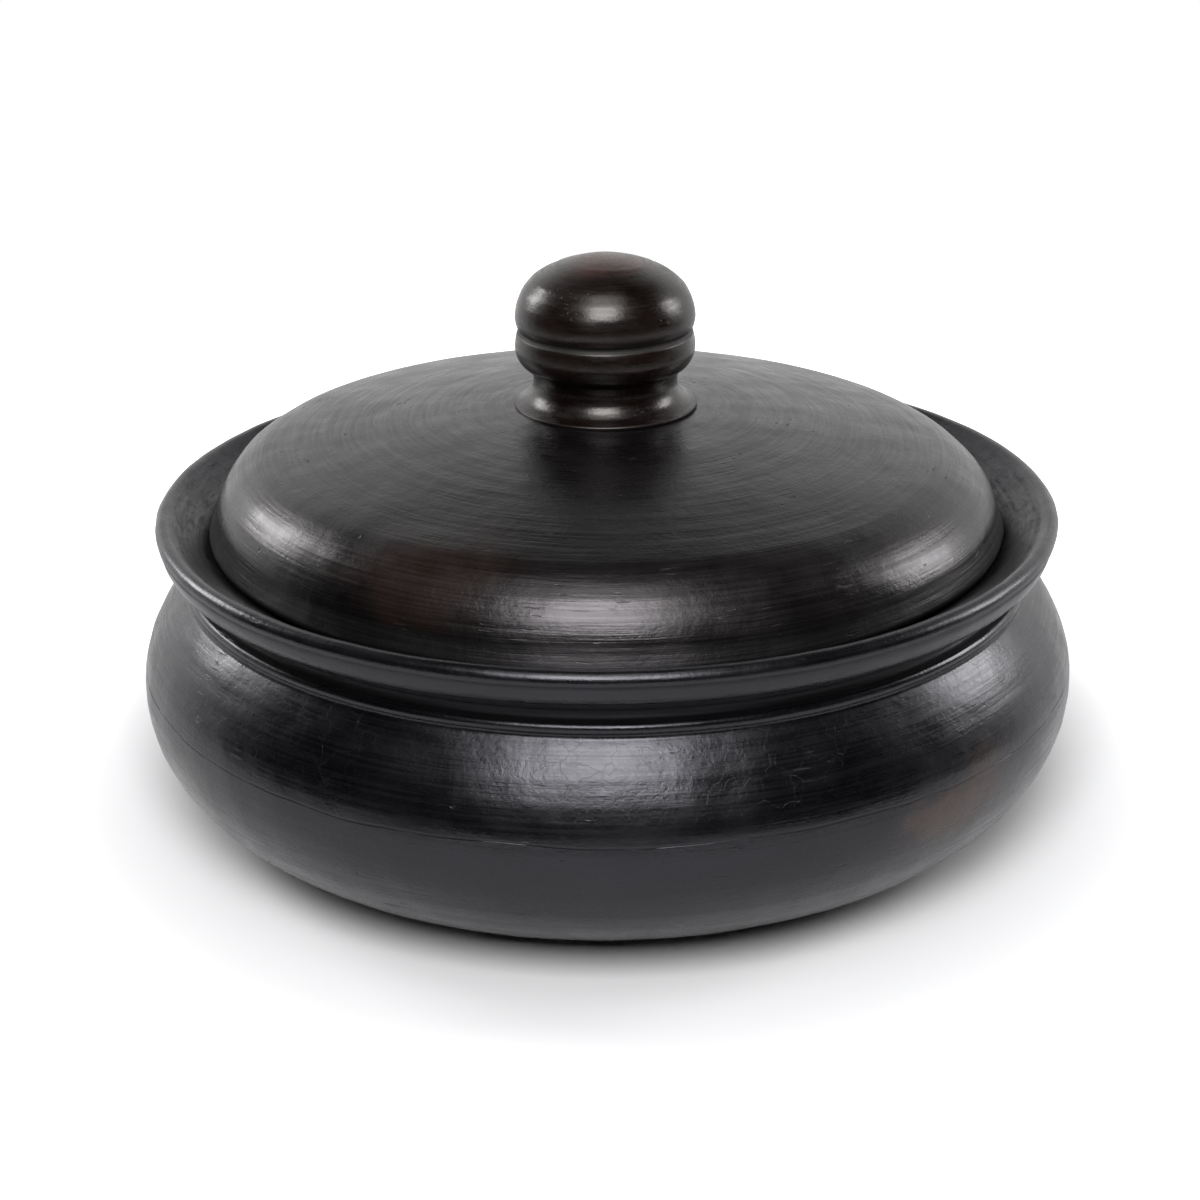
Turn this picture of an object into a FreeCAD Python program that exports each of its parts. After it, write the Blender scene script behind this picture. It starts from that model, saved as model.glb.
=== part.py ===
import FreeCAD, Part
import math
import os
import Sketcher

# A squat, lidded cooking pot of burnished clay, turned about the Z axis. Three pieces:
#   pot   one wall of clay: flat foot, bulging belly, ribbed neck and collared rim with a round lip
#   lid   a domed shell with a beaded edge, which sits loose on the sloping seat inside the rim
#   knob  a turned handle, luted on to the flat pad at the crown of the lid
# The origin is the middle of the foot, on the surface that the pot stands on.

Vector = FreeCAD.Vector

# Driving dimensions, in millimetres. Radii are from the Z axis. Heights in the pot are from its foot,
# heights in the lid are from the underside of its edge, and heights in the knob are from its luted foot.
SIZES = {
    # pot, outside
    "foot_radius": 90.0,
    "underside_radius": 116.4,
    "underside_height": 9.0,
    "belly_radius": 133.8,
    "belly_height": 39.0,
    "belly_round": 30.0,
    "shoulder_height": 51.7,
    "crease_radius": 119.8,
    "crease_height": 68.0,
    # pot, neck: a raised rib, then a recess under the rim
    "rib_top_radius": 119.3,
    "rib_top_height": 71.0,
    "rib_round": 1.9,
    "recess_radius": 117.6,
    "recess_floor_height": 71.3,
    "recess_roof_height": 74.1,
    "recess_round": 1.6,
    # pot, rim: a collar that hangs over the recess, a groove and the round lip
    "collar_nose_radius": 124.9,
    "collar_nose_height": 78.5,
    "collar_foot_radius": 125.5,
    "collar_foot_height": 79.0,
    "nose_round": 1.6,
    "collar_top_radius": 126.95,
    "collar_top_height": 83.0,
    "collar_round": 9.0,
    "lip_groove_height": 84.4,
    "lip_groove_round": 1.8,
    "lip_ring_radius": 125.0,
    "lip_height": 85.1,
    "lip_round": 2.6,
    # pot, inside
    "wall": 6.8,
    "throat_ring_radius": 111.0,
    "throat_height": 73.0,
    "throat_round": 4.5,
    "inner_shoulder_height": 50.0,
    "inner_underside_height": 14.9,
    "floor_height": 7.2,
    # lid
    "lid_rest_height": 80.0,
    "edge_bead_radius": 111.5,
    "edge_bead_round": 3.2,
    "edge_bead_top_height": 5.6,
    "dome_foot_radius": 110.9,
    "dome_foot_height": 6.8,
    "dome_foot_round": 4.0,
    "dome_bend_radius": 93.2,
    "dome_bend_height": 23.6,
    "pad_radius": 25.8,
    "pad_height": 34.4,
    "lid_wall": 5.6,
    "lid_inner_round": 1.5,
    # knob
    "foot_ring_height": 0.8,
    "waist_radius": 20.2,
    "waist_height": 7.4,
    "under_bead_radius": 21.2,
    "under_bead_height": 10.6,
    "knob_bead_radius": 25.2,
    "knob_bead_height": 17.0,
    "bead_top_radius": 24.5,
    "bead_top_height": 21.0,
    "ring_cut_round": 1.0,
    "cap_bottom_radius": 24.6,
    "cap_bottom_height": 22.8,
    "cap_radius": 25.1,
    "cap_height": 25.4,
    "cap_bend_height": 37.6,
    "knob_height": 42.3,
}

doc = FreeCAD.newDocument("ClayPot")


# --- Sheet of sizes -------------------------------------------------------------------------------


def make_sheet():
    """One row for each size: its name in column A, its value and alias in column B."""
    sheet = doc.addObject("Spreadsheet::Sheet", "Sizes")
    for row, (name, size) in enumerate(SIZES.items(), start=1):
        sheet.set(f"A{row}", name)
        sheet.set(f"B{row}", str(size))
        sheet.setAlias(f"B{row}", name)
    doc.recompute()


def value(terms):
    """The sum of named sizes, such as "belly_radius -wall"."""
    names = terms.split()
    return sum(-SIZES[name[1:]] if name.startswith("-") else SIZES[name] for name in names)


def formula(terms):
    """The same sum as an expression on the sheet's cells."""
    names = terms.split()
    signed = [f"- Sizes.{name[1:]}" if name.startswith("-") else f"+ Sizes.{name}" for name in names]
    return " ".join(signed).lstrip("+ ")


# --- Outlines -------------------------------------------------------------------------------------
# An outline is a closed chain of corners in the XZ plane, gone round anticlockwise. A corner's radius or
# height is a sum of sizes as text, which pins it, or "" for zero. Where it is a number, that is only where
# the corner starts, and the tangent curves on either side of it settle it.


def corner_guess(corner):
    radius, height = [value(part) if isinstance(part, str) else part for part in corner]
    return Vector(radius, height, 0)


def arc_guess(start, end, bend):
    """An arc under half a circle. bend is its radius: positive turns left on the way, negative right."""
    chord = end - start
    left = Vector(-chord.y, chord.x, 0).normalize()
    rise = math.sqrt(max(bend * bend - chord.Length**2 / 4, 0))
    centre = (start + end) / 2 + left * math.copysign(rise, bend)
    first, last = (start, end) if bend > 0 else (end, start)
    angles = [math.atan2(point.y - centre.y, point.x - centre.x) for point in (first, last)]
    return Part.ArcOfCircle(Part.Circle(centre, Vector(0, 0, 1), abs(bend)), *angles)


class Outline:
    """A closed sketch in a body's XZ plane, made one stretch at a time."""

    START, END, CENTRE = 1, 2, 3  # Sketcher's numbers for a curve's points
    ACROSS_AXIS, UP_AXIS = -1, -2  # Sketcher's numbers for its own axes; the first one starts at the origin

    def __init__(self, body, name, first):
        self.sketch = body.newObject("Sketcher::SketchObject", name)
        planes = {plane.Role: plane for plane in body.Origin.OriginFeatures}
        self.sketch.AttachmentSupport = (planes["XZ_Plane"], [""])
        self.sketch.MapMode = "FlatFace"
        self.first = self.last = first
        self.curves = []  # (number, start point, end point) in the order of travel

    def add(self, *constraint):
        return self.sketch.addConstraint(Sketcher.Constraint(*constraint))

    def size(self, kind, *where, terms):
        """A dimension bound to the sheet."""
        number = self.add(kind, *where, value(terms))
        self.sketch.setExpression(f"Constraints[{number}]", formula(terms))

    def pin(self, curve, point, corner):
        """Fix whichever of a point's radius and height is given as sizes."""
        for kind, zero_line, terms in zip(
            ("DistanceX", "DistanceY"), (self.UP_AXIS, self.ACROSS_AXIS), corner
        ):
            if terms == "":
                self.add("PointOnObject", curve, point, zero_line)
            elif isinstance(terms, str):
                self.size(kind, self.ACROSS_AXIS, self.START, curve, point, terms=terms)

    def stretch(self, geometry, start, end, corner, smooth):
        """Add a curve, join it to the one before, and pin the corner that it reaches."""
        curve = self.sketch.addGeometry(geometry, False)
        if self.curves:
            before, _, before_end = self.curves[-1]
            self.add("Tangent" if smooth else "Coincident", before, before_end, curve, start)
        self.curves.append((curve, start, end))
        if corner is not self.first:
            self.pin(curve, end, corner)
        self.last = corner
        return curve

    def line(self, corner, smooth=False, along=None):
        """A straight stretch; along is an earlier line that it runs parallel to."""
        geometry = Part.LineSegment(corner_guess(self.last), corner_guess(corner))
        curve = self.stretch(geometry, self.START, self.END, corner, smooth)
        if along is not None:
            self.add("Parallel", curve, along)
        return curve

    def arc(self, corner, bend, smooth=False, radius=None, centre=None, around=None, on_axis=False):
        """A round stretch. bend is about its radius, positive to the left. It is settled by a radius, by a
        centre (radius, height), either of them None, by an arc that it goes around, or by a centre on
        the axis."""
        geometry = arc_guess(corner_guess(self.last), corner_guess(corner), bend)
        start, end = (self.START, self.END) if bend > 0 else (self.END, self.START)
        curve = self.stretch(geometry, start, end, corner, smooth)
        if radius:
            self.size("Radius", curve, terms=radius)
        if centre:
            self.pin(curve, self.CENTRE, centre)
        if around is not None:
            self.add("Coincident", curve, self.CENTRE, around, self.CENTRE)
        if on_axis:
            self.add("PointOnObject", curve, self.CENTRE, self.UP_AXIS)
        return curve

    def close(self, smooth=False):
        """Join the last stretch to the first, and pin the corner where they meet."""
        (first, start, _), (last, _, end) = self.curves[0], self.curves[-1]
        self.add("Tangent" if smooth else "Coincident", last, end, first, start)
        self.pin(first, start, self.first)
        return self.sketch


def turn(body, sketch):
    """Turn a sketch once round the Z axis."""
    turned = body.newObject("PartDesign::Revolution", f"Turned_{body.Label}")
    turned.Profile = sketch
    turned.ReferenceAxis = (sketch, ["V_Axis"])
    turned.Angle = 360
    body.Tip = turned


def new_body(label, height=""):
    """A body whose own origin stands at a named height on the Z axis."""
    body = doc.addObject("PartDesign::Body", label)
    body.Label = label
    body.Placement = FreeCAD.Placement(Vector(0, 0, value(height)), FreeCAD.Rotation())
    if height:
        body.setExpression("Placement.Base.z", formula(height))
    return body


# --- Pot ------------------------------------------------------------------------------------------


def bowl_outside(pot):
    """Foot, underside, belly and shoulder. The belly's two arcs meet upright at its widest."""
    pot.line(("foot_radius", ""))
    pot.arc(("underside_radius", "underside_height"), 74.0)
    level = (None, "belly_height")
    lower = pot.arc(("belly_radius", "belly_height"), 34.5, smooth=True, centre=level)
    upper = pot.arc((131.0, "shoulder_height"), 30.0, radius="belly_round", centre=level)
    pot.arc(("crease_radius", "crease_height"), 60.2, smooth=True)
    return lower, upper


def neck_outside(pot):
    """A half-round rib above the shoulder, then the recess under the collar."""
    pot.arc(("rib_top_radius", "rib_top_height"), 1.9, radius="rib_round")
    pot.line(("recess_radius", "recess_floor_height"))
    pot.arc(("recess_radius", "recess_roof_height"), -1.6, radius="recess_round")
    pot.line(("collar_nose_radius", "collar_nose_height"))
    pot.arc(("collar_foot_radius", "collar_foot_height"), 1.6, radius="nose_round")


def rim(pot):
    """The collar's face, a soft groove, the round lip and the seat, which slopes down to the throat."""
    pot.arc(("collar_top_radius", "collar_top_height"), 9.0, radius="collar_round")
    pot.arc((127.5, "lip_groove_height"), -1.8, radius="lip_groove_round")
    pot.arc((123.5, 87.2), 2.6, radius="lip_round", centre=("lip_ring_radius", "lip_height"))
    pot.line((108.4, 76.6), smooth=True)


def bowl_inside(pot, lower, upper):
    """Throat and shoulder, then arcs around the same centres as the belly outside, and the floor."""
    ring = ("throat_ring_radius", "throat_height")
    pot.arc((108.2, 69.4), 4.5, smooth=True, radius="throat_round", centre=ring)
    pot.arc((124.2, "inner_shoulder_height"), -63.3, smooth=True)
    pot.arc(("belly_radius -wall", "belly_height"), -23.2, smooth=True, around=upper)
    pot.arc((113.0, "inner_underside_height"), -27.3, around=lower)
    pot.arc((84.0, "floor_height"), -58.0, smooth=True)
    pot.line(("", "floor_height"), smooth=True)


def make_pot():
    body = new_body("pot")
    pot = Outline(body, "PotWall", ("", ""))
    lower, upper = bowl_outside(pot)
    neck_outside(pot)
    rim(pot)
    bowl_inside(pot, lower, upper)
    pot.line(pot.first)
    turn(body, pot.close())
    return body


# --- Lid ------------------------------------------------------------------------------------------


def make_lid():
    """Round the edge bead, up over the dome to the pad, then back along the hollow underside."""
    body = new_body("lid", "lid_rest_height")
    lid = Outline(body, "LidShell", (107.2, ""))
    lid.line(("edge_bead_radius", ""))
    lid.arc((113.6, "edge_bead_top_height"), 3.2, smooth=True, radius="edge_bead_round")
    lid.arc(("dome_foot_radius", "dome_foot_height"), -4.0, radius="dome_foot_round")
    bend = lid.arc(("dome_bend_radius", "dome_bend_height"), 25.0)
    crown = lid.arc(("pad_radius", "pad_height"), 370.0, smooth=True, on_axis=True)
    lid.line(("", "pad_height"))
    lid.line(("", "pad_height -lid_wall"))
    lid.arc((91.5, 17.6), -363.0, around=crown)
    lid.arc((105.7, 1.4), -18.5, smooth=True, around=bend)
    lid.arc(lid.first, 1.5, smooth=True, radius="lid_inner_round")
    turn(body, lid.close(smooth=True))
    return body


# --- Knob -----------------------------------------------------------------------------------------


def make_knob():
    """Foot ring, waist, bead, cut ring and domed cap."""
    body = new_body("knob", "lid_rest_height pad_height")
    knob = Outline(body, "KnobTurning", ("", ""))
    knob.line(("pad_radius", ""))
    knob.line(("pad_radius", "foot_ring_height"))
    knob.arc(("waist_radius", "waist_height"), -7.0, centre=(None, "waist_height"))
    knob.arc(("under_bead_radius", "under_bead_height"), -5.6, centre=(None, "waist_height"))
    knob.arc(("knob_bead_radius", "knob_bead_height"), 7.1, centre=(None, "knob_bead_height"))
    knob.arc(("bead_top_radius", "bead_top_height"), 12.5, centre=(None, "knob_bead_height"))
    knob.arc(("cap_bottom_radius", "cap_bottom_height"), -1.0, radius="ring_cut_round")
    knob.arc(("cap_radius", "cap_height"), 7.0, centre=(None, "cap_height"))
    knob.arc((17.9, "cap_bend_height"), 14.0, centre=(None, "cap_height"))
    knob.arc(("", "knob_height"), 36.7, smooth=True, on_axis=True)
    knob.line(knob.first)
    turn(body, knob.close())
    return body


# --- Check and write ------------------------------------------------------------------------------


def check(bodies):
    """Stop if any object failed, any outline is loose or any shape is unsound."""
    for thing in doc.Objects:
        if {"Invalid", "Error"} & set(thing.State):
            raise RuntimeError(f"{thing.Label} is {thing.State}")
        if thing.isDerivedFrom("Sketcher::SketchObject") and not thing.FullyConstrained:
            raise RuntimeError(f"{thing.Label} is not fully constrained")
    for body in bodies:
        if body.Shape.isNull() or not body.Shape.isValid():
            raise RuntimeError(f"{body.Label} has no sound shape")


def main():
    make_sheet()
    bodies = [make_pot(), make_lid(), make_knob()]
    doc.recompute()
    check(bodies)
    os.makedirs("parts", exist_ok=True)
    for body in bodies:
        body.Shape.exportStep(f"parts/{body.Label}.step")
        print(f"{body.Label}: {body.Shape.Volume / 1000:.1f} cm3")


main()
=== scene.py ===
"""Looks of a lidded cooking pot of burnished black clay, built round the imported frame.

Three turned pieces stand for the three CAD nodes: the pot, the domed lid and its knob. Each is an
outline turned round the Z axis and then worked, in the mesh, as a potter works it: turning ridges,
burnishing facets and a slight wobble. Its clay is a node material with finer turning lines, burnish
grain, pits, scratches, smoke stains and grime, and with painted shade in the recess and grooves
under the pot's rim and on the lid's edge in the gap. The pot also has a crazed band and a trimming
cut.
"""

import math

import bpy
import numpy as np
from mathutils import Matrix, Vector


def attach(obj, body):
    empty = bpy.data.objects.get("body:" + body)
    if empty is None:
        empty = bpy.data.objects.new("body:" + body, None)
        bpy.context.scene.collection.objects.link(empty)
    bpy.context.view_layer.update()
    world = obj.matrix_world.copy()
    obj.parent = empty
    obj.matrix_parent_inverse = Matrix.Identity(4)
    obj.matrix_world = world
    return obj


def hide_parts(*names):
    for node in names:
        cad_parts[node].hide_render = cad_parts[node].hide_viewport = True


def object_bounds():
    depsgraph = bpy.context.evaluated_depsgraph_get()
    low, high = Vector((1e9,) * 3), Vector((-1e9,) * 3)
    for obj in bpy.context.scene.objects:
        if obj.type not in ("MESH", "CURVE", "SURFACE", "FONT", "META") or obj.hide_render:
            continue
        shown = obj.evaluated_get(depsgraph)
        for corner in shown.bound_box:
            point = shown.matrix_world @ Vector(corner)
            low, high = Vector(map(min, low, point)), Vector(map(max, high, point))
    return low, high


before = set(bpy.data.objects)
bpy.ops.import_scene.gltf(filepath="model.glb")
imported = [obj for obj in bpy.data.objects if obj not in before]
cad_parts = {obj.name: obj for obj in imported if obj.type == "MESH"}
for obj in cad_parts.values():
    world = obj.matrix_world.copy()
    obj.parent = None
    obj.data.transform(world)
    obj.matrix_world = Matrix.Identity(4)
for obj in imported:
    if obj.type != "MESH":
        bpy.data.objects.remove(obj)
cad_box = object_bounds()

MM = 0.001
MICRON = 1e-6
TURN = 2 * math.pi

# --- Outlines, in millimetres ---------------------------------------------------------------------
# An outline starts and ends on the Z axis and goes round anticlockwise, so the clay is on its left.
# A stretch is (radius, height, bend, step, finish): the point where it ends, its radius of bend (0
# where it is straight, positive where it turns left), the spacing of its rings, and how the clay is
# finished there.

BASE, BURNISHED, RECESS, GROOVE, SLOPE, INSIDE, EDGE = range(7)

POT_START = (0.0, 0.0)
POT = [
    (90.0, 0.0, 0, 15.0, BASE),
    (116.4, 9.0, 73.43, 3.0, BURNISHED),
    (133.8, 39.0, 34.56, 1.7, BURNISHED),
    (130.979, 51.7, 30.0, 1.4, BURNISHED),
    (119.8, 68.0, 60.52, 1.25, BURNISHED),
    (119.3, 71.0, 1.9, 0.5, BURNISHED),
    (117.6, 71.3, 0, 0.6, RECESS),
    (117.6, 74.1, -1.6, 0.5, RECESS),
    (124.9, 78.5, 0, 1.1, RECESS),
    (125.5, 79.0, 1.6, 0.3, BURNISHED),
    (126.95, 83.0, 9.0, 0.6, BURNISHED),
    (127.504, 84.4, -1.8, 0.35, GROOVE),
    (123.511, 87.231, 2.6, 0.5, BURNISHED),
    (108.423, 76.689, 0, 1.5, SLOPE),
    (108.147, 69.52, 4.5, 0.9, SLOPE),
    (124.226, 50.0, -65.24, 2.5, INSIDE),
    (127.0, 39.0, -23.2, 2.5, INSIDE),
    (113.019, 14.9, -27.76, 3.0, INSIDE),
    (84.042, 7.2, -58.37, 4.0, INSIDE),
    (0.0, 7.2, 0, 12.0, INSIDE),
]

LID_START = (0.0, 108.8)
LID = [
    (91.6, 97.318, -371.12, 5.0, INSIDE),
    (105.441, 81.341, -18.52, 2.0, INSIDE),
    (106.933, 80.0, 1.5, 0.5, INSIDE),
    (111.5, 80.0, 0, 1.5, INSIDE),
    (112.7, 82.2, 2.0, 0.4, EDGE),
    (110.9, 86.8, 0, 0.6, EDGE),
    (93.2, 103.6, 25.0, 1.0, BURNISHED),
    (25.8, 114.4, 377.61, 1.3, BURNISHED),
    (0.0, 114.4, 0, 6.0, BASE),
]

KNOB_START = (0.0, 114.4)
KNOB = [
    (25.8, 114.4, 0, 6.0, BASE),
    (25.8, 115.2, 0, 0.3, BURNISHED),
    (20.2, 121.8, -6.69, 0.5, BURNISHED),
    (21.2, 125.0, -5.62, 0.5, BURNISHED),
    (25.2, 131.4, 7.12, 0.5, BURNISHED),
    (24.5, 135.4, 11.78, 0.45, BURNISHED),
    (24.6, 137.2, -1.0, 0.22, GROOVE),
    (25.1, 139.8, 7.01, 0.35, BURNISHED),
    (17.95, 152.0, 14.0, 0.5, BURNISHED),
    (0.0, 156.7, 36.7, 0.5, BURNISHED),
]

# What each mesh tells its material: an attribute, 1 on these finishes, and how softly it ends
FINISH_MASKS = {
    # Recesses and grooves are rougher, and their colour is darkened as painted shade.
    "matte_and_shade": ((RECESS, GROOVE), 0.35),
    # The lid's edge, down in the gap inside the rim, gets painted shade: its colour is darkened
    # nearly to black.
    "gap_shade": ((EDGE,), 0.8),
    "scored": ((SLOPE,), 1.5),
    "inside": ((INSIDE, BASE), 1.0),
}


def bend_points(start, end, bend, step):
    """Points along one stretch, without its start."""
    start, end = np.array(start), np.array(end)
    chord = end - start
    length = np.linalg.norm(chord)
    if not bend:
        count = max(1, round(length / step))
        return [start + chord * i / count for i in range(1, count + 1)]
    left = np.array([-chord[1], chord[0]]) / length
    rise = math.sqrt(max(bend * bend - length * length / 4, 0))
    centre = (start + end) / 2 + left * math.copysign(rise, bend)
    first = math.atan2(*(start - centre)[::-1])
    sweep = 2 * math.asin(min(1.0, length / 2 / abs(bend)))
    count = max(2, round(sweep * abs(bend) / step))
    angles = [first + math.copysign(sweep, bend) * i / count for i in range(1, count + 1)]
    return [centre + abs(bend) * np.array([math.cos(a), math.sin(a)]) for a in angles]


def outline(start, stretches):
    """The rings of an outline, as arrays: their (radius, height), their outward normal, their
    distance along the outline, and their finish."""
    points, finishes = [np.array(start)], [stretches[0][4]]
    for radius, height, bend, step, finish in stretches:
        found = bend_points(points[-1], (radius, height), bend, step)
        points += found
        finishes += [finish] * len(found)
    points = np.array(points)
    steps = np.linalg.norm(np.diff(points, axis=0), axis=1)
    along = np.concatenate([[0], np.cumsum(steps)])
    way = np.gradient(points, along, axis=0)
    normals = np.stack([way[:, 1], -way[:, 0]], axis=1)
    normals /= np.linalg.norm(normals, axis=1)[:, None]
    return points, normals, along, np.array(finishes)


def ring_points(radius, height, theta):
    """Points in space. radius and height have a row for each ring, theta the angles round it."""
    x, y = radius * np.cos(theta), radius * np.sin(theta)
    return np.stack([x, y, np.broadcast_to(height, x.shape)], axis=-1)


def soft_mask(along, chosen, softness):
    """1 on the chosen rings, falling to 0 over a softness in millimetres."""
    if not chosen.any():
        return np.zeros(len(along))
    away = np.abs(along[:, None] - along[chosen][None, :]).min(axis=1)
    return np.exp(-((away / softness) ** 2))


def turned_mesh(name, start, stretches, steps, seed, work):
    """A turned piece, with so many steps round. work(random, theta, points, along, finishes) gives
    how far each point moves along its normal and, as a second array, along Z, in millimetres."""
    points, normals, along, finishes = outline(start, stretches)
    theta = np.arange(steps) * TURN / steps
    random = np.random.default_rng(seed)
    outward, upward = work(random, theta, points, along, finishes)
    radius = points[:, 0][:, None] + normals[:, 0][:, None] * outward
    height = points[:, 1][:, None] + normals[:, 1][:, None] * outward + upward

    # The first and the last ring are on the axis: each is drawn as one pole
    rows = slice(1, len(points) - 1)
    ring_count = len(points) - 2
    body = ring_points(radius[rows], height[rows], theta).reshape(-1, 3)
    poles = np.array([[0, 0, height[0].mean()], [0, 0, height[-1].mean()]])
    vertices = np.concatenate([body, poles]) * MM
    first_pole, last_pole = len(body), len(body) + 1

    here = np.arange(steps)
    following = (here + 1) % steps
    rings = np.arange(ring_count - 1)[:, None] * steps
    corners = [rings + here, rings + following, rings + steps + following, rings + steps + here]
    quads = np.stack(corners, axis=-1).reshape(-1, 4)
    last = (ring_count - 1) * steps
    first_fan = np.stack([following, here, np.full(steps, first_pole)], axis=-1)
    last_fan = np.stack([last + here, last + following, np.full(steps, last_pole)], axis=-1)
    faces = quads.tolist() + first_fan.tolist() + last_fan.tolist()

    mesh = bpy.data.meshes.new(name)
    mesh.from_pydata(vertices.tolist(), [], faces)
    mesh.shade_smooth()

    def attribute(label, ring_values):
        values = np.concatenate([np.repeat(ring_values[rows], steps), ring_values[[0, -1]]])
        layer = mesh.attributes.new(label, "FLOAT", "POINT")
        layer.data.foreach_set("value", values.astype(np.float32))

    attribute("along", along * MM)
    for label, (marked, softness) in FINISH_MASKS.items():
        attribute(label, soft_mask(along, np.isin(finishes, marked), softness))
    piece = bpy.data.objects.new(name, mesh)
    bpy.context.scene.collection.objects.link(piece)
    return piece


# --- Hand work, in millimetres --------------------------------------------------------------------

# Finishes that the hand passes over lightly, and the share of the work that they are spared
LESS_WORKED, SPARED = (BASE, RECESS, SLOPE), 0.75
# Within this radius wobble and ridges fade out
CALM_RADIUS = 12.0
# Waves in the ridges and facets, and their (shortest, longest) length
RIDGE_WAVES, RIDGE_LENGTH = 60, (2.6, 9.0)
FACET_WAVES, FACET_LENGTH = 160, (9.0, 40.0)
# The lean sets in at this height, over this rise, and is given at this distance from the axis
LEAN_FROM, LEAN_RISE, LEAN_ARM = 88.0, 10.0, 100.0


def turning_waves(random, theta, along, count, wave_length):
    """Ridges left by turning, about 1 high. Each wave is a set of rings, or a spiral with one or
    two starts. wave_length is the (least, most) spacing of the ridges."""
    total = np.zeros((len(along), len(theta)))
    for _ in range(count):
        turns = random.integers(0, 3)
        per_mm = random.choice([-1, 1]) / random.uniform(*wave_length)
        phase = random.uniform(0, TURN)
        total += np.cos(turns * theta[None, :] + TURN * per_mm * along[:, None] + phase)
    return total / math.sqrt(count / 2)


def space_waves(random, places, count, wave_length):
    """Noise about 1 high, made of plane waves through space. places holds points, in its last
    axis."""
    total = np.zeros(places.shape[:-1])
    for _ in range(count):
        way = random.normal(size=3)
        way *= TURN / random.uniform(*wave_length) / np.linalg.norm(way)
        total += np.cos(places @ way + random.uniform(0, TURN))
    return total / math.sqrt(count / 2)


def hand_work(wobble, ridges, facets, lean=0.0):
    """Work for a turned piece: wobble out of round, ridges from turning, facets from burnishing,
    and a lean, by which the top is lower at LEAN_ARM towards +X."""

    def work(random, theta, points, along, finishes):
        radius, height = points[:, 0][:, None], points[:, 1][:, None]
        fade = (1 - SPARED * np.isin(finishes, LESS_WORKED))[:, None]
        near_axis = np.clip(radius / CALM_RADIUS, 0, 1)
        out_of_round = sum(
            random.uniform(0.4, 1) * np.cos(k * theta + random.uniform(0, TURN)) / k
            for k in (2, 3, 5)
        )
        ridge = turning_waves(random, theta, along, RIDGE_WAVES, RIDGE_LENGTH)
        places = ring_points(radius, height, theta)
        facet = space_waves(random, places, FACET_WAVES, FACET_LENGTH)
        outward = wobble * out_of_round[None, :] * fade * near_axis
        outward = outward + ridges * fade * near_axis * ridge
        outward = outward + facets * fade * facet
        leaning = np.clip((height - LEAN_FROM) / LEAN_RISE, 0, 1)
        return outward, -lean * leaning * places[..., 0] / LEAN_ARM

    return work


# --- Nodes ----------------------------------------------------------------------------------------


def rgb(red, green, blue):
    return (red, green, blue, 1.0)


class Nodes:
    """A node tree, emptied, with short names for the nodes that the materials share."""

    def __init__(self, tree):
        self.tree = tree
        tree.nodes.clear()

    def node(self, kind, inputs=(), **settings):
        """A shader node. inputs maps names or numbers of its sockets to sockets or values."""
        made = self.tree.nodes.new("ShaderNode" + kind)
        for key, setting in settings.items():
            setattr(made, key, setting)
        for key, value in dict(inputs).items():
            self.feed(made.inputs[key], value)
        return made

    def feed(self, socket, value):
        if isinstance(value, bpy.types.NodeSocket):
            self.tree.links.new(value, socket)
        else:
            socket.default_value = value

    def end(self, kind, shader):
        """The output node of the tree."""
        self.node(kind, {"Surface": shader.outputs[0]})

    def math(self, operation, first, second=0.0):
        return self.node("Math", {0: first, 1: second}, operation=operation).outputs[0]

    def fold(self, operation, values):
        made = values[0]
        for value in values[1:]:
            made = self.math(operation, made, value)
        return made

    def total(self, *values):
        return self.fold("ADD", values)

    def product(self, *values):
        return self.fold("MULTIPLY", values)

    def plus(self, first, second):
        return self.node("VectorMath", {0: first, 1: second}, operation="ADD").outputs[0]

    def stretch(self, vector, factors):
        return self.node("VectorMath", {0: vector, 1: factors}, operation="MULTIPLY").outputs[0]

    def scale(self, vector, factor):
        made = self.node("VectorMath", {0: vector, "Scale": factor}, operation="SCALE")
        return made.outputs[0]

    def length(self, vector):
        return self.node("VectorMath", {0: vector}, operation="LENGTH").outputs["Value"]

    def parts(self, vector):
        return self.node("SeparateXYZ", {0: vector}).outputs

    def ramp(self, value, source, target=(0.0, 1.0)):
        """Value taken smoothly from one range to another, and held beyond its ends."""
        inputs = {"Value": value, 1: source[0], 2: source[1], 3: target[0], 4: target[1]}
        return self.node("MapRange", inputs, interpolation_type="SMOOTHSTEP").outputs[0]

    def noise(self, vector, scale=1.0, detail=2.0, roughness=0.5, distortion=0.0, output=0):
        inputs = {
            "Vector": vector,
            "Scale": scale,
            "Detail": detail,
            "Roughness": roughness,
            "Distortion": distortion,
        }
        return self.node("TexNoise", inputs).outputs[output]

    def cells(self, vector, scale=1.0, feature="F1", randomness=1.0):
        inputs = {"Vector": vector, "Scale": scale, "Randomness": randomness}
        return self.node("TexVoronoi", inputs, feature=feature)

    def mix(self, factor, first, second):
        """A mix of two colours."""
        made = self.node("Mix", {"Factor": factor}, data_type="RGBA")
        colours = [socket for socket in made.inputs if socket.type == "RGBA"]
        self.feed(colours[0], first)
        self.feed(colours[1], second)
        return next(socket for socket in made.outputs if socket.type == "RGBA")

    def attribute(self, name):
        return self.node("Attribute", attribute_name=name).outputs["Fac"]


def new_material(name, kind=Nodes):
    """A material and its nodes."""
    material = bpy.data.materials.new(name)
    material.use_nodes = True
    return material, kind(material.node_tree)


# --- Clay -----------------------------------------------------------------------------------------

# Painted shade for the recess under the pot's rim and for the grooves.
RECESS_SHADE = rgb(0.0035, 0.0033, 0.0035)
# Grime in pits, scratches, scoring, cracks and the trimming cut, and painted shade on the lid's
# edge.
GRIME_AND_SHADE = rgb(0.0015, 0.0014, 0.0014)

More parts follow.
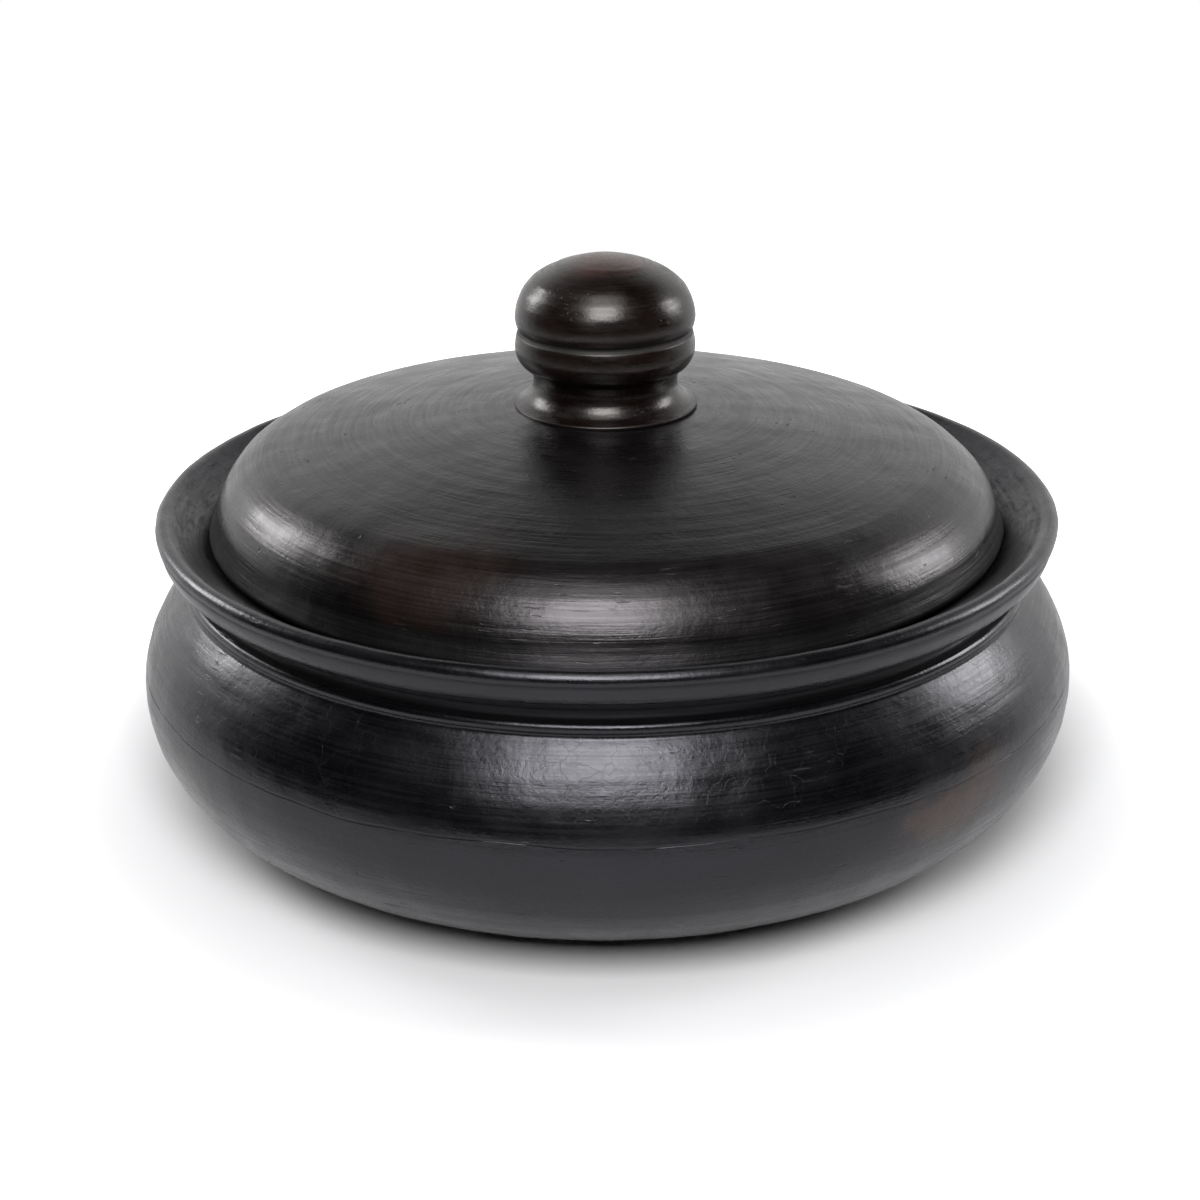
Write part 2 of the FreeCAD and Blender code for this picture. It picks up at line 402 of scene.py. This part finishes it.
# Relief, in metres
PIT_DEPTH = 90 * MICRON
SCRATCH_DEPTH = 60 * MICRON
SCORE_HEIGHT = 60 * MICRON
CRACK_DEPTH = 7 * MICRON
BLOCK_LIFT = 30 * MICRON
TRIM_DEPTH = 120 * MICRON
TRIM_WANDER = 0.0050


class Clay(Nodes):
    """The nodes of a clay. Its relief, in metres, and its dark marks and painted shade, from 0 to
    1, add up as the functions below are called."""

    def __init__(self, tree):
        super().__init__(tree)
        self.place = self.node("TexCoord").outputs["Object"]
        self.along = self.attribute("along")
        self.matte_and_shade = self.attribute("matte_and_shade")
        self.gap_shade = self.attribute("gap_shade")
        self.scored = self.attribute("scored")
        self.inside = self.attribute("inside")
        x, y, self.height = self.parts(self.place)
        flat = self.node("CombineXYZ", {0: x, 1: y}).outputs[0]
        self.around = self.node("VectorMath", {0: flat}, operation="NORMALIZE").outputs[0]
        self.off_axis = self.ramp(self.length(flat), (0.004, 0.016))
        patches = self.noise(self.place, scale=40.0, detail=3.0)
        self.patchy = self.ramp(patches, (0.38, 0.62))
        self.reliefs = []
        self.dark_marks_and_shade = []

    def turning(self, round_scale, across_scale, shift=0.0):
        """Coordinates for noise drawn out round the axis; across_scale is per metre."""
        across = self.math("ADD", self.product(self.along, across_scale), shift)
        step = self.node("CombineXYZ", {2: across}).outputs[0]
        return self.plus(self.scale(self.around, round_scale), step)

    def raise_by(self, *factors):
        self.reliefs.append(self.product(*factors))

    def darken_by(self, *factors):
        self.dark_marks_and_shade.append(self.product(*factors))


def add_burnish(clay, lines, peel):
    """Turning lines, and the grain of the burnish. Gives the fine and the broad lines."""
    fine_lines = clay.noise(clay.turning(3.5, 1250.0), roughness=0.6)
    broad_lines = clay.noise(clay.turning(1.3, 330.0, 7.0))
    line_height = clay.ramp(clay.patchy, (0, 1), (lines * 0.45 * MICRON, lines * MICRON))
    clay.raise_by(fine_lines, line_height, clay.off_axis)
    clay.raise_by(broad_lines, lines * 1.1 * MICRON, clay.off_axis)
    fine_grain = clay.noise(clay.place, scale=2600.0, roughness=0.6)
    grain = clay.noise(clay.place, scale=820.0, detail=3.0, roughness=0.6, distortion=0.4)
    dimples = clay.noise(clay.place, scale=260.0)
    clay.raise_by(fine_grain, peel * MICRON)
    clay.raise_by(grain, peel * 2.6 * MICRON)
    clay.raise_by(dimples, peel * 4.0 * MICRON)
    return fine_lines, broad_lines


def add_pits(clay):
    """Pits, where grains of grit came out. Only a few cells of the pattern hold one."""
    cells = clay.cells(clay.plus(clay.place, (0.31, 0.17, 0.05)), scale=105.0)
    chosen = clay.math("GREATER_THAN", clay.parts(cells.outputs["Color"])[0], 0.86)
    shape = clay.ramp(cells.outputs["Distance"], (0.02, 0.075), (1.0, 0.0))
    pits = clay.product(shape, chosen)
    clay.raise_by(pits, -PIT_DEPTH)
    clay.darken_by(pits, 0.9)


def add_scratches(clay):
    """Short strokes in the turning direction, from handling and from the burnishing stone."""
    strokes = clay.noise(clay.turning(15.0, 1000.0, 3.0), detail=1.0, roughness=0.4)
    rare = clay.ramp(clay.noise(clay.place, scale=62.0), (0.56, 0.64))
    scratches = clay.product(clay.ramp(strokes, (0.66, 0.72)), rare)
    clay.raise_by(scratches, -SCRATCH_DEPTH)
    clay.darken_by(scratches, 0.55)


def add_scoring(clay):
    """Rough, crossed strokes on the slope inside the rim, with grime in them."""
    bent = clay.plus(clay.turning(9.0, 520.0), clay.scale(clay.place, 60.0))
    crossed = clay.noise(bent, detail=4.0, roughness=0.7, distortion=0.6)
    clay.raise_by(crossed, clay.scored, SCORE_HEIGHT)
    clay.darken_by(clay.ramp(crossed, (0.42, 0.7)), clay.scored, 0.5)


def add_crazing(clay, low, high):
    """Blocks that the burnished skin has shrunk into, in a band from a low to a high height."""
    above = clay.ramp(clay.height, (low - 0.004, low))
    below = clay.ramp(clay.height, (high, high + 0.003), (1.0, 0.0))
    here = clay.ramp(clay.noise(clay.place, scale=17.0), (0.44, 0.56))
    crazed = clay.product(above, below, here)
    shifts = clay.noise(clay.place, scale=190.0, output="Color")
    warp = clay.scale(clay.plus(shifts, (-0.5, -0.5, -0.5)), 1.1)
    skin = clay.plus(clay.turning(16.0, 150.0), warp)
    edges = clay.cells(skin, feature="DISTANCE_TO_EDGE", randomness=0.85)
    cracks = clay.product(clay.ramp(edges.outputs["Distance"], (0.0, 0.05), (1.0, 0.0)), crazed)
    blocks = clay.cells(skin, randomness=0.85)
    tilt = clay.parts(blocks.outputs["Color"])[0]
    clay.raise_by(cracks, -CRACK_DEPTH)
    clay.raise_by(tilt, blocks.outputs["Distance"], crazed, BLOCK_LIFT)
    clay.darken_by(cracks, 0.15)


def add_trim_cut(clay, trim):
    """The cut where the potter trimmed the foot, at about the height trim. It wanders, and is
    fainter in places."""
    swing = clay.noise(clay.scale(clay.around, 1.6), detail=3.0, roughness=0.6)
    level = clay.math("ADD", clay.height, clay.product(swing, TRIM_WANDER))
    off_line = clay.math("SUBTRACT", level, trim + TRIM_WANDER / 2)
    line = clay.ramp(clay.math("ABSOLUTE", off_line), (0.0001, 0.0004), (1.0, 0.0))
    cut = clay.product(line, clay.ramp(clay.patchy, (0.1, 0.5), (0.3, 1.0)))
    clay.raise_by(cut, -TRIM_DEPTH)
    clay.darken_by(cut, 0.8)


def smoke_cloud(clay, centre, size, shift):
    """A soft cloud round a point, in metres, broken up by noise that shift moves elsewhere."""
    away = clay.plus(clay.place, -Vector(centre))
    distance = clay.length(clay.stretch(away, [1 / s for s in size]))
    moved = clay.plus(clay.place, (shift, 0.0, 0.0))
    ragged = clay.noise(moved, scale=95.0, detail=3.0, roughness=0.6)
    edge = clay.math("ADD", distance, clay.product(clay.math("SUBTRACT", ragged, 0.5), 1.3))
    return clay.ramp(edge, (0.35, 1.05), (1.0, 0.0))


def make_clay(name, dark, pale, tint, rough, lines, peel, stains, craze=None, trim=None):
    """Burnished clay. dark and pale are its cloudy colours, tint is the colour of its reflections
    and rough the roughness of its burnish. lines and peel are the heights of its turning lines and
    burnish grain, in micrometres. In metres, stains are (centre, size, colour, strength), craze is
    the (lowest, highest) height of a crazed band, and trim the height of a trimming cut."""
    material, clay = new_material(name, Clay)
    fine_lines, broad_lines = add_burnish(clay, lines, peel)
    add_pits(clay)
    add_scratches(clay)
    add_scoring(clay)
    if craze:
        add_crazing(clay, *craze)
    if trim:
        add_trim_cut(clay, trim)
    # Painted shade: the lid's edge in the gap inside the rim is darkened nearly to black.
    clay.darken_by(clay.gap_shade, 0.9)
    marks_and_shade = clay.math("MINIMUM", clay.total(*clay.dark_marks_and_shade), 1.0)
    height = clay.total(*clay.reliefs)
    relief = clay.node("Bump", {"Strength": 1.0, "Distance": 1.0, "Height": height})

    clouds = clay.noise(clay.place, scale=26.0, detail=4.0, roughness=0.55)
    colour = clay.mix(clay.ramp(clouds, (0.36, 0.66)), rgb(*dark), rgb(*pale))
    streaks = clay.ramp(broad_lines, (0.35, 0.7), (0.0, 0.35))
    colour = clay.mix(streaks, colour, rgb(*[c * 0.55 for c in dark]))
    for number, (centre, size, hue, strength) in enumerate(stains):
        cloud = clay.product(smoke_cloud(clay, centre, size, number * 0.7), strength)
        colour = clay.mix(cloud, colour, rgb(*hue))
    # Painted shade: the recess under the rim and the grooves are darkened towards RECESS_SHADE.
    colour = clay.mix(clay.product(clay.matte_and_shade, 0.75), colour, RECESS_SHADE)
    # The dark marks are grime; on the lid's edge this same darkening is painted shade.
    colour = clay.mix(marks_and_shade, colour, GRIME_AND_SHADE)

    sheen = clay.noise(clay.place, scale=70.0, detail=4.0, roughness=0.6)
    roughness = clay.total(
        clay.ramp(sheen, (0.3, 0.7), (rough - 0.035, rough + 0.045)),
        clay.ramp(fine_lines, (0.3, 0.7), (-0.03, 0.05)),
        clay.product(clay.matte_and_shade, 0.30),
        clay.product(clay.scored, 0.10),
        clay.product(clay.inside, 0.18),
        clay.product(marks_and_shade, 0.3),
        clay.product(clay.gap_shade, -0.2),
    )

    shader = clay.node(
        "BsdfPrincipled",
        {
            "Base Color": colour,
            "Roughness": clay.math("MINIMUM", roughness, 0.95),
            "Normal": relief.outputs[0],
            "IOR": 1.5,
            "Specular Tint": rgb(*tint),
        },
    )
    clay.end("OutputMaterial", shader)
    return material


# --- The pieces -----------------------------------------------------------------------------------

pot = turned_mesh(
    "black_clay_bowl",
    POT_START,
    POT,
    steps=540,
    seed=11,
    work=hand_work(wobble=0.12, ridges=0.022, facets=0.045),
)
lid = turned_mesh(
    "black_clay_cover",
    LID_START,
    LID,
    steps=600,
    seed=23,
    work=hand_work(wobble=0.07, ridges=0.020, facets=0.040, lean=1.1),
)
knob = turned_mesh(
    "black_clay_grip",
    KNOB_START,
    KNOB,
    steps=360,
    seed=37,
    work=hand_work(wobble=0.10, ridges=0.018, facets=0.050),
)

pot.data.materials.append(
    make_clay(
        "pot_clay",
        dark=(0.0012, 0.0012, 0.0016),
        pale=(0.0034, 0.0033, 0.0042),
        tint=(0.93, 0.91, 1.0),
        rough=0.27,
        lines=46.0,
        peel=20.0,
        stains=[
            ((0.085, -0.098, 0.036), (0.022, 0.022, 0.010), (0.045, 0.026, 0.017), 0.75),
            ((0.096, -0.088, 0.041), (0.012, 0.012, 0.012), (0.050, 0.030, 0.020), 0.5),
            ((-0.104, -0.070, 0.030), (0.014, 0.014, 0.020), (0.038, 0.026, 0.018), 0.55),
        ],
        craze=(0.052, 0.068),
        trim=0.0443,
    )
)
lid.data.materials.append(
    make_clay(
        "lid_clay",
        dark=(0.0016, 0.0013, 0.0013),
        pale=(0.0042, 0.0034, 0.0033),
        tint=(1.0, 0.94, 0.985),
        rough=0.28,
        lines=90.0,
        peel=18.0,
        stains=[((-0.045, -0.092, 0.098), (0.030, 0.022, 0.014), (0.016, 0.007, 0.0045), 0.5)],
    )
)
knob.data.materials.append(
    make_clay(
        "knob_clay",
        dark=(0.0026, 0.0011, 0.0007),
        pale=(0.0070, 0.0028, 0.0018),
        tint=(1.0, 0.96, 0.93),
        rough=0.28,
        lines=24.0,
        peel=14.0,
        stains=[((0.0, 0.0, 0.156), (0.016, 0.016, 0.006), (0.040, 0.012, 0.008), 0.7)],
    )
)

for piece, body, node in ((pot, "pot", "pot"), (lid, "lid", "lid"), (knob, "lid", "knob")):
    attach(piece, body)
    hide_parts(node)


# --- Studio ---------------------------------------------------------------------------------------

scene = bpy.context.scene
middle = (cad_box[0] + cad_box[1]) / 2

FLOOR_REACH, FLOOR_SIDES, FLOOR_GAP = 0.62, 96, 0.0002
# The distances from the axis between which the floor starts to glow
GLOW_RANGE = (0.13, 0.24)
LAMP_DISTANCE = 1.4
# What the world gives in front and overhead, where the wall gives 1
FRONT_LIGHT = 0.004


def make_floor():
    """A matt white disc. Away from the pot it glows for the camera alone, so that it runs into the
    white wall."""
    angles = [TURN * i / FLOOR_SIDES for i in range(FLOOR_SIDES)]
    rim = [(FLOOR_REACH * math.cos(a), FLOOR_REACH * math.sin(a), 0) for a in angles]
    mesh = bpy.data.meshes.new("studio_floor")
    mesh.from_pydata(rim, [], [tuple(range(FLOOR_SIDES))])
    floor = bpy.data.objects.new("studio_floor", mesh)
    scene.collection.objects.link(floor)
    floor.location.z = cad_box[0].z - FLOOR_GAP

    material, studio = new_material("floor_white")
    away = studio.length(studio.node("TexCoord").outputs["Object"])
    seen = studio.node("LightPath").outputs["Is Camera Ray"]
    shader = studio.node(
        "BsdfPrincipled",
        {
            "Base Color": rgb(0.78, 0.78, 0.79),
            "Roughness": 0.9,
            "Specular IOR Level": 0.0,
            "Emission Color": rgb(1, 1, 1),
            "Emission Strength": studio.product(studio.ramp(away, GLOW_RANGE), seen),
        },
    )
    studio.end("OutputMaterial", shader)
    mesh.materials.append(material)


def softbox(name, azimuth, elevation, width, height, radiance):
    """A soft light seen from the pot at an azimuth (0 towards -Y, positive towards +X) and an
    elevation, in degrees."""
    a, e = math.radians(azimuth), math.radians(elevation)
    way = Vector((math.sin(a) * math.cos(e), -math.cos(a) * math.cos(e), math.sin(e)))
    light = bpy.data.lights.new(name, "AREA")
    light.shape = "RECTANGLE"
    light.size, light.size_y = width, height
    light.energy = radiance * math.pi * width * height
    lamp = bpy.data.objects.new(name, light)
    scene.collection.objects.link(lamp)
    lamp.location = middle + way * LAMP_DISTANCE
    lamp.rotation_mode = "QUATERNION"
    lamp.rotation_quaternion = way.to_track_quat("Z", "Y")
    lamp.visible_camera = False


def make_world():
    """A white wall behind the pot, dark to the front and overhead. The camera sees only white."""
    world = bpy.data.worlds.new("studio")
    scene.world = world
    world.use_nodes = True
    studio = Nodes(world.node_tree)
    _, y, z = studio.parts(studio.node("TexCoord").outputs["Generated"])
    behind = studio.ramp(y, (0.0, 0.6))
    low = studio.ramp(z, (0.45, 0.88), (1.0, 0.0))
    wall = studio.product(behind, low)
    seen = studio.node("LightPath").outputs["Is Camera Ray"]
    strength = studio.math("MAXIMUM", studio.math("ADD", wall, FRONT_LIGHT), seen)
    background = studio.node("Background", {"Color": rgb(1, 1, 1), "Strength": strength})
    studio.end("OutputWorld", background)


def make_camera():
    """In front of the pot, looking a little down on it."""
    aim, distance = Vector((0, 0, 0.054)), 0.675
    elevation, roll = math.radians(22.5), math.radians(0.4)
    back = Vector((0, -math.cos(elevation), math.sin(elevation)))
    right = Vector((1, 0, 0))
    up = back.cross(right)
    turned_right = right * math.cos(roll) - up * math.sin(roll)
    turned_up = right * math.sin(roll) + up * math.cos(roll)
    data = bpy.data.cameras.new("camera")
    data.sensor_width = 36.0
    data.lens = 69.3
    data.shift_x = -0.0058
    camera = bpy.data.objects.new("camera", data)
    scene.collection.objects.link(camera)
    axes = Matrix((turned_right, turned_up, back)).transposed().to_4x4()
    camera.matrix_world = Matrix.Translation(aim + back * distance) @ axes
    scene.camera = camera


make_floor()
softbox("key_front", azimuth=-3, elevation=46, width=0.76, height=0.80, radiance=11.5)
softbox("overhead", azimuth=-3, elevation=76, width=0.70, height=0.50, radiance=2.6)
softbox("side_left", azimuth=-118, elevation=25, width=0.44, height=0.54, radiance=9.0)
softbox("side_right", azimuth=104, elevation=22, width=0.44, height=0.54, radiance=9.0)
make_world()
make_camera()
scene.view_settings.view_transform = "Standard"
